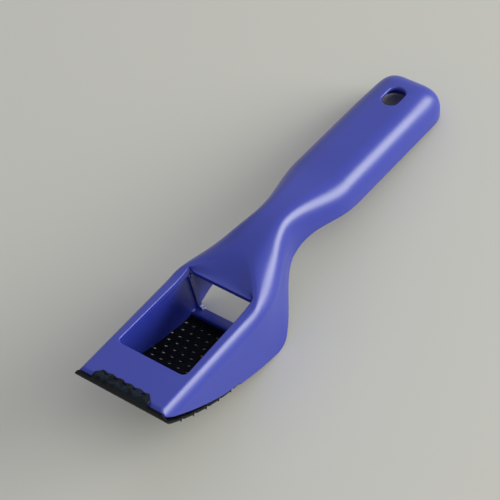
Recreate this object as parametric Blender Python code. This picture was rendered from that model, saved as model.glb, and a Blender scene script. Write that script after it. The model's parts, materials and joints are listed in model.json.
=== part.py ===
"""Small rasp plane: a one-piece moulded handle and head that carries a curved, perforated rasp blade.

The tool is drawn in its own frame: X runs from the nose to the end of the handle, Y across and Z up, with
Z = 0 on the flat bridge in front of the chip window. An empty then tips it nose-up onto its heel and its
handle end, the way it lies on a bench, with the middle of its box over the origin. All sizes are in metres.
"""

import math

import bmesh
import bpy
import numpy as np

# Overall
LENGTH = 0.200
WALL = 0.0018
CLEARANCE = 0.0003

# Head: flat bridge at the nose, chip window, then the scoop that climbs to the neck
HEAD_WIDTH = 0.0396
HEAD_FOOT_WIDTH = 0.0402
HEAD_EDGE_ROUND = 0.0045
BRIDGE_LENGTH = 0.0174
BRIDGE_THICKNESS = 0.0030
WINDOW_LENGTH = 0.0430
WINDOW_WIDTH = 0.0300
WINDOW_REAR_WIDTH = 0.0288
WINDOW_CORNER = 0.0022
SEAT_HALL_WIDTH = 0.0345
NOSE_DEPTH = 0.0025

# Heel: the low back corner of the head, with the cross bar that holds the end of the blade
HEEL_DEPTH = 0.0326
HEEL_BEHIND_WINDOW = 0.0110
HEEL_ROUND = 0.0040
BELLY_SAG = 0.0060
BAR_LENGTH = 0.0044
BAR_BEFORE_HEEL = 0.0034
BAR_TOP_FRONT = 0.0272
BAR_TOP_REAR = 0.0284
BAR_LIP = 0.0010
STEP_SLANT = 0.0070

# Scoop
SCOOP_EDGE_DROP = 0.0006
SCOOP_EDGE_THICKNESS = 0.0012
SCOOP_DEPTH = 0.0036
SCOOP_RIM = 0.0040

# Neck
WAIST_BEHIND_WINDOW = 0.0356
WAIST_WIDTH = 0.0180
CREST_HEIGHT = 0.0098
NECK_UNDERSIDE = 0.0060

# Handle
HANDLE_BEHIND_WAIST = 0.0320
HANDLE_WIDTH = 0.0290
HANDLE_TOP_FRONT = 0.0065
HANDLE_TOP_REAR = 0.0042
HANDLE_RIM_FRONT = 0.0084
HANDLE_RIM_REAR = 0.0114
HANDLE_ARCH = 0.0100
ARCH_POWER = 2.3
END_PLAN_ROUND = 0.0140
END_PLAN_POWER = 2.4
END_TOP_ROUND = 0.0090

# Hang slot through the handle top
SLOT_LENGTH = 0.0130
SLOT_WIDTH = 0.0080
SLOT_FROM_END = 0.0200

# Blade
BLADE_THICKNESS = 0.0008
BLADE_FRONT_WIDTH = 0.0410
BLADE_REAR_WIDTH = 0.0352
BLADE_TAPER_POWER = 3.0
BLADE_NOSE_DROP = 0.0054
BLADE_NOSE_SETBACK = 0.0010
BLADE_RADIUS = 0.130
TONGUE_LENGTH = 0.0026
TAB_LENGTH = 0.0035
TAB_BEND = 0.0012
TAB_RECESS = 0.0004
TOOTH_HEIGHT = 0.0010
TOOTH_PITCH = 0.0041
HOLE_LENGTH = 0.0017
PLAIN_FRONT = 0.0025
PLAIN_REAR = 0.0030
TAB_WAVE = 0.0005
COLUMNS_PER_PITCH = 4
PITCHES_ACROSS = 10
TAB_PITCHES = 6
TONGUE_PITCHES = 5

# Shares of a length at which the outline changes
NECK_SHARE = 0.375
SHOULDER_SHARE = 0.28
CREST_SHARE = 0.10
SCOOP_SHARE = 0.30
RIM_SHARE = 0.20
LEAST_CORNER_SHARE = 0.25
SCOOP_EDGE_FLATNESS = 16.0
SCOOP_NECK_FLATNESS = 1.7

# Facets
LENGTH_STEP = 0.0050
NECK_STEP = 0.0024
ROUND_STEPS = 6
TOP_STEPS = 9
SIDE_STEPS = 6
BELLY_STEPS = 14
REAR_STEPS = 11
GRIP_STEPS = 15
BLADE_STEPS = 12
FOLD_STEPS = 3
LAST_RING_SHARE = 0.9985
FAR = 0.060

# Finish
BODY_COLOUR = (0.050, 0.065, 0.356)
BODY_ROUGHNESS = 0.38
BLADE_COLOUR = (0.012, 0.012, 0.014)
BLADE_ROUGHNESS = 0.45

# Places that follow from the sizes above
WINDOW_REAR = BRIDGE_LENGTH + WINDOW_LENGTH
WAIST_X = WINDOW_REAR + WAIST_BEHIND_WINDOW
HANDLE_X = WAIST_X + HANDLE_BEHIND_WAIST
HEEL_X = WINDOW_REAR + HEEL_BEHIND_WINDOW
NECK_X = WAIST_X + HANDLE_BEHIND_WAIST * NECK_SHARE
SHOULDER_X = WINDOW_REAR - WAIST_BEHIND_WINDOW * SHOULDER_SHARE
CREST_X = WAIST_X - HANDLE_BEHIND_WAIST * CREST_SHARE
SCOOP_X = WINDOW_REAR + WAIST_BEHIND_WINDOW * SCOOP_SHARE
BAR_REAR = HEEL_X - BAR_BEFORE_HEEL
BAR_FRONT = BAR_REAR - BAR_LENGTH
BLADE_REAR_X = BAR_FRONT - CLEARANCE
BLADE_REAR_Z = -(BAR_TOP_REAR + BLADE_THICKNESS + 2.0 * CLEARANCE)
NOSE_CHAMFER = TAB_BEND - 0.5 * BLADE_THICKNESS - CLEARANCE + TAB_RECESS
TAB_LEVEL = 0.5 * BLADE_THICKNESS + CLEARANCE - TAB_RECESS
TAB_RECESS_REAR = TAB_LENGTH + TAB_WAVE + CLEARANCE


def ease(start, end, x):
    """Smooth step from 0 at start to 1 at end."""
    t = np.clip((np.asarray(x, float) - start) / (end - start), 0.0, 1.0)
    return t * t * (3.0 - 2.0 * t)


def between(low, high, share):
    """Straight blend of two values."""
    return low + (high - low) * share


def end_share(x, inset):
    """How far a station lies into the rounded end of the handle, 0 where it starts and 1 at the tip."""
    reach = END_PLAN_ROUND - inset
    return np.clip((np.asarray(x, float) - (LENGTH - END_PLAN_ROUND)) / reach, 0.0, 1.0)


def top_half_width(x, inset=0.0):
    """Half width where the top rounds over into the sides: head, waist, handle, round end."""
    head_to_waist = ease(SHOULDER_X, WAIST_X, x)
    waist_to_handle = ease(WAIST_X, HANDLE_X, x)
    front = between(HEAD_WIDTH, WAIST_WIDTH, head_to_waist)
    width = front + (HANDLE_WIDTH - WAIST_WIDTH) * waist_to_handle
    end = (1.0 - end_share(x, inset) ** END_PLAN_POWER) ** (1.0 / END_PLAN_POWER)
    return (0.5 * width - inset) * end


def foot_half_width(x, inset=0.0):
    """Half width at the depth of the heel: wide behind the window, then it follows the neck."""
    to_waist = ease(HEEL_X, WAIST_X, x)
    flare = between(0.5 * HEAD_FOOT_WIDTH, 0.5 * WAIST_WIDTH, to_waist) - inset
    return np.where(np.asarray(x) < WAIST_X, flare, top_half_width(x, inset))


def crest(x):
    """Height of the top along the tool: flat head, climb to the neck, slow fall along the handle."""
    climb = CREST_HEIGHT * ease(SHOULDER_X, CREST_X, x)
    fall = (CREST_HEIGHT - HANDLE_TOP_FRONT) * ease(CREST_X, HANDLE_X, x)
    slope = (HANDLE_TOP_FRONT - HANDLE_TOP_REAR) / (LENGTH - HANDLE_X)
    run = np.clip(np.asarray(x) - HANDLE_X, 0.0, None)
    into_end = np.clip((np.asarray(x) - (LENGTH - END_TOP_ROUND)) / END_TOP_ROUND, 0.0, 1.0)
    return climb - fall - slope * run - END_TOP_ROUND * (1.0 - np.sqrt(1.0 - into_end**2))


def trough(x):
    """Depth of the scoop below its rims."""
    fade = 1.0 - ease(SCOOP_X, WAIST_X, x)
    at_edge = crest(WINDOW_REAR) + SCOOP_EDGE_DROP
    depth = between(at_edge, SCOOP_DEPTH, ease(WINDOW_REAR, SCOOP_X, x))
    return np.where(np.asarray(x) < WINDOW_REAR - CLEARANCE, 0.0, depth * fade)


def corner_size(x):
    """Width and height of the rounded top corner: a small radius on the head, a full arch on the handle."""
    to_arch = ease(WINDOW_REAR, HANDLE_X, x)
    width = between(HEAD_EDGE_ROUND, 0.5 * HANDLE_WIDTH, to_arch)
    height = between(HEAD_EDGE_ROUND, HANDLE_ARCH, to_arch)
    return np.minimum(width, top_half_width(x)), height


def rounded_corner(before, corner, after, radius, steps):
    """Points of the arc that rounds the corner of two straight lines."""
    before, corner, after = (np.array(p, float) for p in (before, corner, after))
    into = (before - corner) / np.linalg.norm(before - corner)
    out = (after - corner) / np.linalg.norm(after - corner)
    half = 0.5 * math.acos(float(np.clip(into @ out, -1.0, 1.0)))
    bisector = (into + out) / np.linalg.norm(into + out)
    centre = corner + bisector * radius / math.sin(half)
    first = corner + into * radius / math.tan(half) - centre
    last = corner + out * radius / math.tan(half) - centre
    turn = math.atan2(first[0] * last[1] - first[1] * last[0], first @ last)
    angles = np.linspace(0.0, turn, steps)
    cos, sin = np.cos(angles), np.sin(angles)
    return centre + np.stack([first[0] * cos - first[1] * sin, first[0] * sin + first[1] * cos], axis=1)


def rim_outline():
    """Lower rim in side view: belly arc, round heel, rear edge up to the neck, underside of the handle."""
    heel = np.array([HEEL_X, -HEEL_DEPTH])
    nose = np.array([0.0, -NOSE_DEPTH])
    share = np.linspace(0.0, 1.0, BELLY_STEPS + 1)
    belly = nose + (heel - nose) * share[:, None]
    belly[:, 1] -= 4.0 * BELLY_SAG * share * (1.0 - share)
    rear_x = np.linspace(HEEL_X, NECK_X, REAR_STEPS + 1)
    lift = ((NECK_X - rear_x) / (NECK_X - HEEL_X)) ** 2
    rear = np.stack([rear_x, -NECK_UNDERSIDE - (HEEL_DEPTH - NECK_UNDERSIDE) * lift], axis=1)
    heel_arc = rounded_corner(belly[-2], heel, rear[1], HEEL_ROUND, ROUND_STEPS)
    grip_x = np.linspace(NECK_X, LENGTH + WALL, GRIP_STEPS + 1)[1:]
    level_x = HANDLE_X + RIM_SHARE * HANDLE_BEHIND_WAIST
    drop = between(NECK_UNDERSIDE, HANDLE_RIM_FRONT, ease(NECK_X, level_x, grip_x))
    slope = (HANDLE_RIM_REAR - HANDLE_RIM_FRONT) / (LENGTH - HANDLE_X)
    grip = np.stack([grip_x, -drop - slope * np.clip(grip_x - HANDLE_X, 0.0, None)], axis=1)
    return np.concatenate([belly[:-1], heel_arc, rear[1:], grip])


def blade_arc():
    """Centre of the blade's arc, and its angles at the rear and front ends."""
    front = np.array([BLADE_NOSE_SETBACK, -BLADE_NOSE_DROP])
    rear = np.array([BLADE_REAR_X, BLADE_REAR_Z])
    chord = rear - front
    length = np.linalg.norm(chord)
    upward = np.array([-chord[1], chord[0]]) / length
    centre = 0.5 * (front + rear) + upward * math.sqrt(BLADE_RADIUS**2 - 0.25 * length**2)
    angle_rear = math.atan2(*(rear - centre)[::-1])
    angle_front = math.atan2(*(front - centre)[::-1])
    return centre, angle_rear, angle_front


def blade_half_width(x):
    """Half width of the blade, which stays wide under the window and narrows towards its rear end."""
    share = np.clip(np.asarray(x, float) / BLADE_REAR_X, 0.0, 1.0)
    return 0.5 * between(BLADE_FRONT_WIDTH, BLADE_REAR_WIDTH, share**BLADE_TAPER_POWER)


def new_material(name, colour, roughness, metallic):
    material = bpy.data.materials.new(name)
    material.use_nodes = True
    shader = material.node_tree.nodes["Principled BSDF"]
    shader.inputs["Base Color"].default_value = (*colour, 1.0)
    shader.inputs["Roughness"].default_value = roughness
    shader.inputs["Metallic"].default_value = metallic
    return material


def new_object(name, mesh_builder, parent):
    """Object with one closed mesh, its faces turned outwards."""
    bmesh.ops.recalc_face_normals(mesh_builder, faces=mesh_builder.faces)
    mesh = bpy.data.meshes.new(name)
    mesh_builder.to_mesh(mesh)
    mesh_builder.free()
    obj = bpy.data.objects.new(name, mesh)
    bpy.context.scene.collection.objects.link(obj)
    obj.parent = parent
    return obj


def loft(name, rings, parent):
    """Closed solid through rings of equally many points: flat triangles between them, flat end faces."""
    builder = bmesh.new()
    loops = [[builder.verts.new(point) for point in ring] for ring in rings]
    for first, second in zip(loops, loops[1:]):
        for i in range(len(first)):
            j = (i + 1) % len(first)
            builder.faces.new((first[i], first[j], second[j], second[i]))
    bmesh.ops.triangulate(builder, faces=builder.faces)
    builder.faces.new(loops[0])
    builder.faces.new(loops[-1])
    return new_object(name, builder, parent)


def across(name, outline, half_width, parent):
    """Solid made by drawing an XZ outline out to both sides."""
    rings = [[(x, y, z) for x, z in outline] for y in (-half_width, half_width)]
    return loft(name, rings, parent)


def upright(name, outline, low, high, parent):
    """Solid made by drawing an XY outline up from one height to another."""
    rings = [[(x, y, z) for x, y in outline] for z in (low, high)]
    return loft(name, rings, parent)


def stations(start, end):
    """Places along the tool, closer on the neck and in the round end."""
    end_start = LENGTH - END_PLAN_ROUND
    spans = (
        (start, WINDOW_REAR, LENGTH_STEP),
        (WINDOW_REAR, HANDLE_X, NECK_STEP),
        (HANDLE_X, end_start, 2.0 * LENGTH_STEP),
    )
    places = [np.linspace(a, b, max(2, math.ceil((b - a) / step) + 1)) for a, b, step in spans if b > a]
    turn = np.linspace(0.0, 0.5 * math.pi, ROUND_STEPS + 2)[:-1]
    tip = end_start + (end - end_start) * np.append(np.sin(turn), LAST_RING_SHARE)
    joined = np.concatenate(places + [tip])
    return np.unique(np.round(joined[joined >= start], 6))


def section_shape(x, inset, roof):
    """Top of one cross section, from one side to the other: (y, z) points over the full width."""
    half = float(top_half_width(x, inset))
    corner_width, corner_height = (float(size) for size in corner_size(x))
    corner_width = min(max(corner_width - inset, LEAST_CORNER_SHARE * half), half)
    fan = np.sin(np.linspace(-0.5 * math.pi, 0.5 * math.pi, 2 * TOP_STEPS + 1))
    y = half * fan
    into_corner = np.clip((np.abs(y) - (half - corner_width)) / corner_width, 0.0, 1.0)
    drop = (corner_height - 0.5 * inset) * (1.0 - (1.0 - into_corner**ARCH_POWER) ** (1.0 / ARCH_POWER))
    scoop_half = max(half + inset - SCOOP_RIM, LEAST_CORNER_SHARE * half)
    flatness = between(SCOOP_EDGE_FLATNESS, SCOOP_NECK_FLATNESS, ease(WINDOW_REAR, SCOOP_X, x))
    hollow = trough(x) * (1.0 - np.clip(np.abs(y) / scoop_half, 0.0, 1.0) ** flatness)
    nose = max(NOSE_CHAMFER - x, 0.0)
    return y, crest(x) - roof - nose - drop - hollow


def section_ring(x, depth, inset=0.0, roof=0.0):
    """One closed ring of a loft: the shaped top, then straight sides down to a depth below the rim."""
    y, z = section_shape(x, inset, roof)
    flare = (float(foot_half_width(x, inset)) - y[-1]) / (z[-1] + HEEL_DEPTH)
    foot = y[-1] + flare * (z[-1] + depth)
    share = np.linspace(0.0, 1.0, SIDE_STEPS + 1)[1:]
    side = list(zip(between(y[-1], foot, share), between(z[-1], -depth, share)))
    other_side = [(-a, b) for a, b in reversed(side)]
    return [(x, a, b) for a, b in [*zip(y, z), *side, *other_side]]


def make_outer(parent):
    """The whole outside of the body as one solid, still without its hollow."""
    places = np.concatenate([stations(0.0, LENGTH), [NOSE_CHAMFER, WINDOW_REAR - CLEARANCE]])
    return loft("body", [section_ring(float(x), FAR) for x in np.unique(np.round(places, 6))], parent)


def step_x(z):
    """Where the slanted step behind the window lies at a height: the side walls get thinner there."""
    share = (-z - BRIDGE_THICKNESS) / (BAR_TOP_FRONT - BRIDGE_THICKNESS)
    return WINDOW_REAR + STEP_SLANT * share


def make_step(parent):
    """All that lies in front of the slanted step."""
    front, high, low = WINDOW_REAR - 2.0 * WALL, WALL, -2.0 * FAR
    edge = WINDOW_REAR - CLEARANCE
    outline = [(front, high), (edge, high), (edge, -BRIDGE_THICKNESS), (step_x(low), low), (front, low)]
    return across("step_block", outline, HEAD_FOOT_WIDTH, parent)


def make_hollow(parent):
    """Hollow of neck and handle, which starts at the slanted step behind the window."""
    rings = []
    for x in stations(WINDOW_REAR - WALL, LENGTH - WALL):
        roof = between(SCOOP_EDGE_THICKNESS, WALL, float(ease(WINDOW_REAR, SCOOP_X, x)))
        rings.append(section_ring(float(x), FAR + WALL, WALL, roof))
    hollow = loft("hollow_cutter", rings, parent)
    combine(hollow, make_step(parent), "DIFFERENCE")
    return hollow


def make_hall(parent):
    """Hollow of the head under bridge and window, with drafted side walls, back to the slanted step."""
    levels = (
        (-BRIDGE_THICKNESS, 0.5 * WINDOW_WIDTH),
        (-HEEL_DEPTH, 0.5 * SEAT_HALL_WIDTH),
        (-FAR - WALL, 0.5 * SEAT_HALL_WIDTH),
    )
    side = [(half, z) for z, half in levels]
    outline = side + [(-half, z) for half, z in reversed(side)]
    front = [(WALL, y, z) for y, z in outline]
    rear = [(step_x(z) + CLEARANCE, y, z) for y, z in outline]
    return loft("hall_cutter", [front, rear], parent)


def make_window(parent):
    """Chip window: round corners at the bridge, straight edge at the scoop."""
    front, rear = BRIDGE_LENGTH, WINDOW_REAR
    wide, narrow = 0.5 * WINDOW_WIDTH, 0.5 * WINDOW_REAR_WIDTH
    right = rounded_corner((rear, -narrow), (front, -wide), (front, wide), WINDOW_CORNER, ROUND_STEPS)
    left = rounded_corner((front, -wide), (front, wide), (rear, narrow), WINDOW_CORNER, ROUND_STEPS)
    outline = [(rear, -narrow), *map(tuple, right), *map(tuple, left), (rear, narrow)]
    return upright("window_cutter", outline, -BRIDGE_THICKNESS - WALL, FAR, parent)


def make_slot(parent):
    """Hang slot with round ends."""
    centre = LENGTH - SLOT_FROM_END
    reach = 0.5 * (SLOT_LENGTH - SLOT_WIDTH)
    turn = np.linspace(-0.5 * math.pi, 0.5 * math.pi, ROUND_STEPS + 3)
    rear = [(centre + reach + 0.5 * SLOT_WIDTH * math.cos(a), 0.5 * SLOT_WIDTH * math.sin(a)) for a in turn]
    front = [(2.0 * centre - x, -y) for x, y in rear]
    low = float(crest(centre)) - HANDLE_ARCH
    return upright("slot_cutter", rear + front, low, FAR, parent)


def make_bar(parent):
    """Cross bar at the heel, between the side walls."""
    front = BAR_FRONT - BAR_LIP
    low = -FAR + WALL
    outline = [(front, -BAR_TOP_FRONT), (BAR_REAR, -BAR_TOP_REAR), (BAR_REAR, low), (front, low)]
    return across("bar_block", outline, 0.5 * (HEAD_FOOT_WIDTH - WALL), parent)


def make_side_view(rim, parent):
    """Side view of the body, drawn across its whole width: what lies inside it is kept."""
    front, rear = -WALL, LENGTH + WALL
    outline = [(front, -NOSE_DEPTH), *map(tuple, rim), (rear, FAR), (front, FAR)]
    return across("side_view_block", outline, HEAD_FOOT_WIDTH, parent)


def make_seat(parent):
    """Room for the blade: all that lies under its upper face, between the lips of the side walls."""
    centre, angle_rear, angle_front = blade_arc()
    radius = BLADE_RADIUS - 0.5 * BLADE_THICKNESS - CLEARANCE
    angles = np.linspace(angle_front, angle_rear, BLADE_STEPS + 1)
    arc = [centre + radius * np.array([math.cos(a), math.sin(a)]) for a in angles]
    tops = [(-FAR, arc[0][1]), *map(tuple, arc[:-1]), (BAR_FRONT, arc[-1][1])]
    rings = []
    for x, z in tops:
        half = float(blade_half_width(x)) + CLEARANCE
        rings.append([(x, half, z), (x, half, -FAR), (x, -half, -FAR), (x, -half, z)])
    return loft("seat_cutter", rings, parent)


def make_tongue_slot(parent):
    """Slot in the cross bar that takes the blade's tongue."""
    half_height = 0.5 * BLADE_THICKNESS + CLEARANCE
    low, high = BLADE_REAR_Z - half_height, BLADE_REAR_Z + half_height
    front, rear = BAR_FRONT - BAR_LIP, BLADE_REAR_X + TONGUE_LENGTH + CLEARANCE
    outline = [(front, low), (rear, low), (rear, high), (front, high)]
    half = 0.5 * BLADE_REAR_WIDTH * TONGUE_PITCHES / PITCHES_ACROSS + CLEARANCE
    return across("tongue_slot_cutter", outline, half, parent)


def make_tab_recess(parent):
    """Shallow recess in the bridge that takes the blade's tab."""
    rear = TAB_RECESS_REAR
    half = 0.5 * BLADE_FRONT_WIDTH * TAB_PITCHES / PITCHES_ACROSS + CLEARANCE
    outline = [(-WALL, -half), (rear, -half), (rear, half), (-WALL, half)]
    return upright("tab_recess_cutter", outline, -TAB_RECESS, FAR, parent)


def combine(target, tool, operation):
    """Boolean of target with a helper solid, which is kept out of renders."""
    modifier = target.modifiers.new(tool.name, "BOOLEAN")
    modifier.operation = operation
    modifier.solver = "EXACT"
    modifier.object = tool
    tool.hide_render = True
    tool.display_type = "WIRE"


def make_body(parent):
    """One-piece moulded body: outside, hollow, cross bar, side view, window, slot, seats for the blade."""
    rim = rim_outline()
    body = make_outer(parent)
    combine(body, make_hollow(parent), "DIFFERENCE")
    combine(body, make_hall(parent), "DIFFERENCE")
    combine(body, make_bar(parent), "UNION")
    combine(body, make_side_view(rim, parent), "INTERSECT")
    combine(body, make_window(parent), "DIFFERENCE")
    combine(body, make_slot(parent), "DIFFERENCE")
    combine(body, make_seat(parent), "DIFFERENCE")
    combine(body, make_tongue_slot(parent), "DIFFERENCE")
    combine(body, make_tab_recess(parent), "DIFFERENCE")
    body.data.materials.append(new_material("blue_plastic", BODY_COLOUR, BODY_ROUGHNESS, 0.0))
    return body


def blade_lines():
    """Lines across the blade blank, from tongue to tab: middle point, way along, half width, next row.

    A row is (how many pitches wide it is, which holes it has): None, or 0 and 1 for the two staggered sets.
    """
    centre, angle_rear, angle_front = blade_arc()
    sweep = BLADE_RADIUS * (angle_rear - angle_front)
    toothed = sweep - PLAIN_FRONT - PLAIN_REAR
    rows = int(toothed // TOOTH_PITCH)
    pitch = toothed / rows
    tongue_end = (BLADE_REAR_X + TONGUE_LENGTH, BLADE_REAR_Z)
    lines = [(tongue_end, (-1.0, 0.0), 0.5 * BLADE_REAR_WIDTH, (TONGUE_PITCHES, None))]

    def add_arc(distance, row):
        angle = angle_rear - distance / BLADE_RADIUS
        point = centre + BLADE_RADIUS * np.array([math.cos(angle), math.sin(angle)])
        along = (math.sin(angle), -math.cos(angle))
        lines.append((tuple(point), along, float(blade_half_width(point[0])), row))

    full = (PITCHES_ACROSS, None)
    add_arc(0.0, full)
    for row in range(rows):
        start = PLAIN_REAR + row * pitch
        add_arc(start, (PITCHES_ACROSS, row % 2))
        add_arc(start + HOLE_LENGTH, full)
    add_arc(PLAIN_REAR + toothed, full)

    half = 0.5 * BLADE_FRONT_WIDTH
    face = -(CLEARANCE + 0.5 * BLADE_THICKNESS)
    start = centre + BLADE_RADIUS * np.array([math.cos(angle_front), math.sin(angle_front)])
    lean = math.atan2(-math.cos(angle_front), math.sin(angle_front))
    bend = (start[0] - face) / (1.0 + math.sin(lean - math.pi))
    hub = start + bend * np.array([math.sin(lean), -math.cos(lean)])
    for angle in np.linspace(lean, 0.5 * math.pi, ROUND_STEPS):
        point = hub - bend * np.array([math.sin(angle), -math.cos(angle)])
        lines.append((tuple(point), (math.cos(angle), math.sin(angle)), half, full))

    tab = (TAB_PITCHES, None)
    hub = np.array([face + TAB_BEND, TAB_LEVEL - TAB_BEND])
    for angle in np.linspace(0.5 * math.pi, 0.0, FOLD_STEPS + 1):
        point = hub - TAB_BEND * np.array([math.sin(angle), -math.cos(angle)])
        lines.append((tuple(point), (math.cos(angle), math.sin(angle)), half, tab))
    first_hole = 0.5 * (TAB_LENGTH - HOLE_LENGTH)
    for x, row in ((first_hole, (TAB_PITCHES, 1)), (first_hole + HOLE_LENGTH, tab), (TAB_LENGTH, None)):
        lines.append(((x, TAB_LEVEL), (1.0, 0.0), half, row))
    return lines


def hole_centres(pitches, stagger):
    """Column lines on which the holes of a row are centred."""
    columns = COLUMNS_PER_PITCH * PITCHES_ACROSS
    reach = COLUMNS_PER_PITCH * pitches // 2
    first = COLUMNS_PER_PITCH // 2 if stagger == 0 else COLUMNS_PER_PITCH
    centres = range(first, columns, COLUMNS_PER_PITCH)
    return [k for k in centres if abs(k - columns // 2) < reach]


def make_blade(parent):
    """Rasp blade: a folded blank with staggered holes and a raised tooth at the edge of each hole."""
    lines = blade_lines()
    columns = COLUMNS_PER_PITCH * PITCHES_ACROSS
    middle = columns // 2
    lift = np.zeros((len(lines), columns + 1))
    cells = np.zeros((len(lines) - 1, columns), bool)
    for i, (_, _, _, row) in enumerate(lines[:-1]):
        pitches, stagger = row
        reach = COLUMNS_PER_PITCH * pitches // 2
        cells[i, middle - reach : middle + reach] = True
        if stagger is None:
            continue
        for k in hole_centres(pitches, stagger):
            cells[i, k - 1 : k + 1] = False
            lift[i + 1, k] = TOOTH_HEIGHT if pitches == PITCHES_ACROSS else 0.0

    builder = bmesh.new()
    sides = []
    share = np.linspace(-1.0, 1.0, columns + 1)
    wave = -TAB_WAVE * np.cos(2.0 * math.pi * (np.arange(columns + 1) - middle) / COLUMNS_PER_PITCH)
    wave[middle] *= 2.0
    used = np.zeros((len(lines), columns + 1), bool)
    for step in ((0, 0), (0, 1), (1, 0), (1, 1)):
        used[step[0] : step[0] + len(cells), step[1] : step[1] + columns] |= cells
    for outward in (1.0, -1.0):
        grid = {}
        for i, (point, along, half, _) in enumerate(lines):
            for k in np.flatnonzero(used[i]):
                reach = wave[k] if i == len(lines) - 1 else 0.0
                out = outward * 0.5 * BLADE_THICKNESS + (lift[i, k] if outward > 0.0 else 0.0)
                x = point[0] - along[1] * out + along[0] * reach
                z = point[1] + along[0] * out + along[1] * reach
                grid[i, k] = builder.verts.new((x, share[k] * half, z))
        sides.append(grid)

    outer, inner = sides
    for i, k in np.argwhere(cells):
        corners = ((i, k), (i, k + 1), (i + 1, k + 1), (i + 1, k))
        builder.faces.new([outer[c] for c in corners])
        builder.faces.new([inner[c] for c in reversed(corners)])
        beside = ((i - 1, k), (i, k + 1), (i + 1, k), (i, k - 1))
        for (a, b), (m, n) in zip(zip(corners, corners[1:] + corners[:1]), beside):
            inside = 0 <= m < len(cells) and 0 <= n < columns and cells[m, n]
            if not inside:
                builder.faces.new((outer[b], outer[a], inner[a], inner[b]))
    blade = new_object("blade", builder, parent)
    blade.data.materials.append(new_material("black_steel", BLADE_COLOUR, BLADE_ROUGHNESS, 1.0))
    return blade


def lie_down(frame, parts):
    """Tips the tool onto its heel and handle end and centres its box over the origin."""
    bpy.context.view_layer.update()
    graph = bpy.context.evaluated_depsgraph_get()
    points = []
    for part in parts:
        mesh = part.evaluated_get(graph).to_mesh()
        flat = np.empty(3 * len(mesh.vertices))
        mesh.vertices.foreach_get("co", flat)
        points.append(flat.reshape(-1, 3))
        part.evaluated_get(graph).to_mesh_clear()
    points = np.concatenate(points)
    front = points[points[:, 0] < NECK_X]
    rear = points[points[:, 0] > NECK_X]
    rise = rear[None, :, 2] - front[:, None, 2]
    run = rear[None, :, 0] - front[:, None, 0]
    height = front[:, None, 2] + rise * (NECK_X - front[:, None, 0]) / run
    heel, end = np.unravel_index(np.argmin(height), height.shape)
    tilt = math.atan2(rise[heel, end], run[heel, end])
    x = points[:, 0] * math.cos(tilt) + points[:, 2] * math.sin(tilt)
    z = points[:, 2] * math.cos(tilt) - points[:, 0] * math.sin(tilt)
    frame.rotation_euler = (0.0, tilt, 0.0)
    frame.location = (-0.5 * (x.min() + x.max()), 0.0, -z.min())


def main():
    for obj in list(bpy.data.objects):
        bpy.data.objects.remove(obj, do_unlink=True)
    frame = bpy.data.objects.new("tool_frame", None)
    bpy.context.scene.collection.objects.link(frame)
    lie_down(frame, [make_body(frame), make_blade(frame)])


main()
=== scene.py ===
"""Looks of a small rasp plane: one moulded blue shell that carries a pierced and folded steel blade.

The shapes are worked out in the tool's own frame, where X runs from the nose to the end of the handle, Y across
and Z = 0 is the top of the bridge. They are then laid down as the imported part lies, on its heel and handle end.
"""

from __future__ import annotations

import json
import logging
import math
from collections.abc import Callable
from dataclasses import dataclass, field
from enum import Enum
from functools import reduce
from itertools import combinations, product
from typing import Any

import bpy
import numpy as np
from mathutils import Matrix, Vector

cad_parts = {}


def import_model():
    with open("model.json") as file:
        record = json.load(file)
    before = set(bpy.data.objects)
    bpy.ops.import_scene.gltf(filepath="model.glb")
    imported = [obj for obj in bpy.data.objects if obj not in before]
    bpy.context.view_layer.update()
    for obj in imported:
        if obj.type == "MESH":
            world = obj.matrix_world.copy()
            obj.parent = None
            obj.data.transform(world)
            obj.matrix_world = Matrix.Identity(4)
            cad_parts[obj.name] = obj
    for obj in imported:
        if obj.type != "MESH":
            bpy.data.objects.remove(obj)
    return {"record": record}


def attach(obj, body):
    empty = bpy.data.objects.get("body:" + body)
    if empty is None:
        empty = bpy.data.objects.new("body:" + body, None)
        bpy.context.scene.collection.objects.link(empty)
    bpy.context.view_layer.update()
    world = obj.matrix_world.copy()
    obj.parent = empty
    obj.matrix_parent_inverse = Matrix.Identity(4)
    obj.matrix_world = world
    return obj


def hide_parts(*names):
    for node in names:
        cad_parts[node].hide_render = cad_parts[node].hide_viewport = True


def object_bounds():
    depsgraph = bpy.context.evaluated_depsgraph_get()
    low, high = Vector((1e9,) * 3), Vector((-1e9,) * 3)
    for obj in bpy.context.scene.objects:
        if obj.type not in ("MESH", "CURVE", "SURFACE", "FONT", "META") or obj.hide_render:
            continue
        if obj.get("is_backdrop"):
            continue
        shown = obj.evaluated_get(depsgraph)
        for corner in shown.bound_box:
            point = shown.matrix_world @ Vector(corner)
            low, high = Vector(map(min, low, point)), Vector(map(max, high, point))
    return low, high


LOG = logging.getLogger("rasp_plane")
MM = 0.001
IMAGE_SIDE = 500.0
SENSOR_WIDTH = 36.0
DIFFERENCE_STEP = 0.05 * MM
TINY = 1e-9

Array = np.ndarray
Field = Callable[[Array, Array, Array], Array]
Patch = tuple[Array, Array, Array]
Pair = tuple[float, float]
Triple = tuple[float, float, float]
Colour = Triple


class Slot(Enum):
    """Material slots of the record."""

    PLASTIC = "blue_plastic"
    STEEL = "black_steel"


class Row(Enum):
    """The two sets of holes that take turns along the blade."""

    EVEN = 0
    ODD = 1


def ease(start: float, end: float, x: Array | float) -> Array:
    """Smooth step of x with level ends: 0 before start, 1 after end, and 3 s^2 - 2 s^3 of the share s between."""
    share = np.clip((np.asarray(x, float) - start) / (end - start), 0.0, 1.0)
    return share * share * (3.0 - 2.0 * share)


def between(low: Any, high: Any, share: Any) -> Any:
    """Straight blend of two values."""
    return low + (high - low) * share


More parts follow.
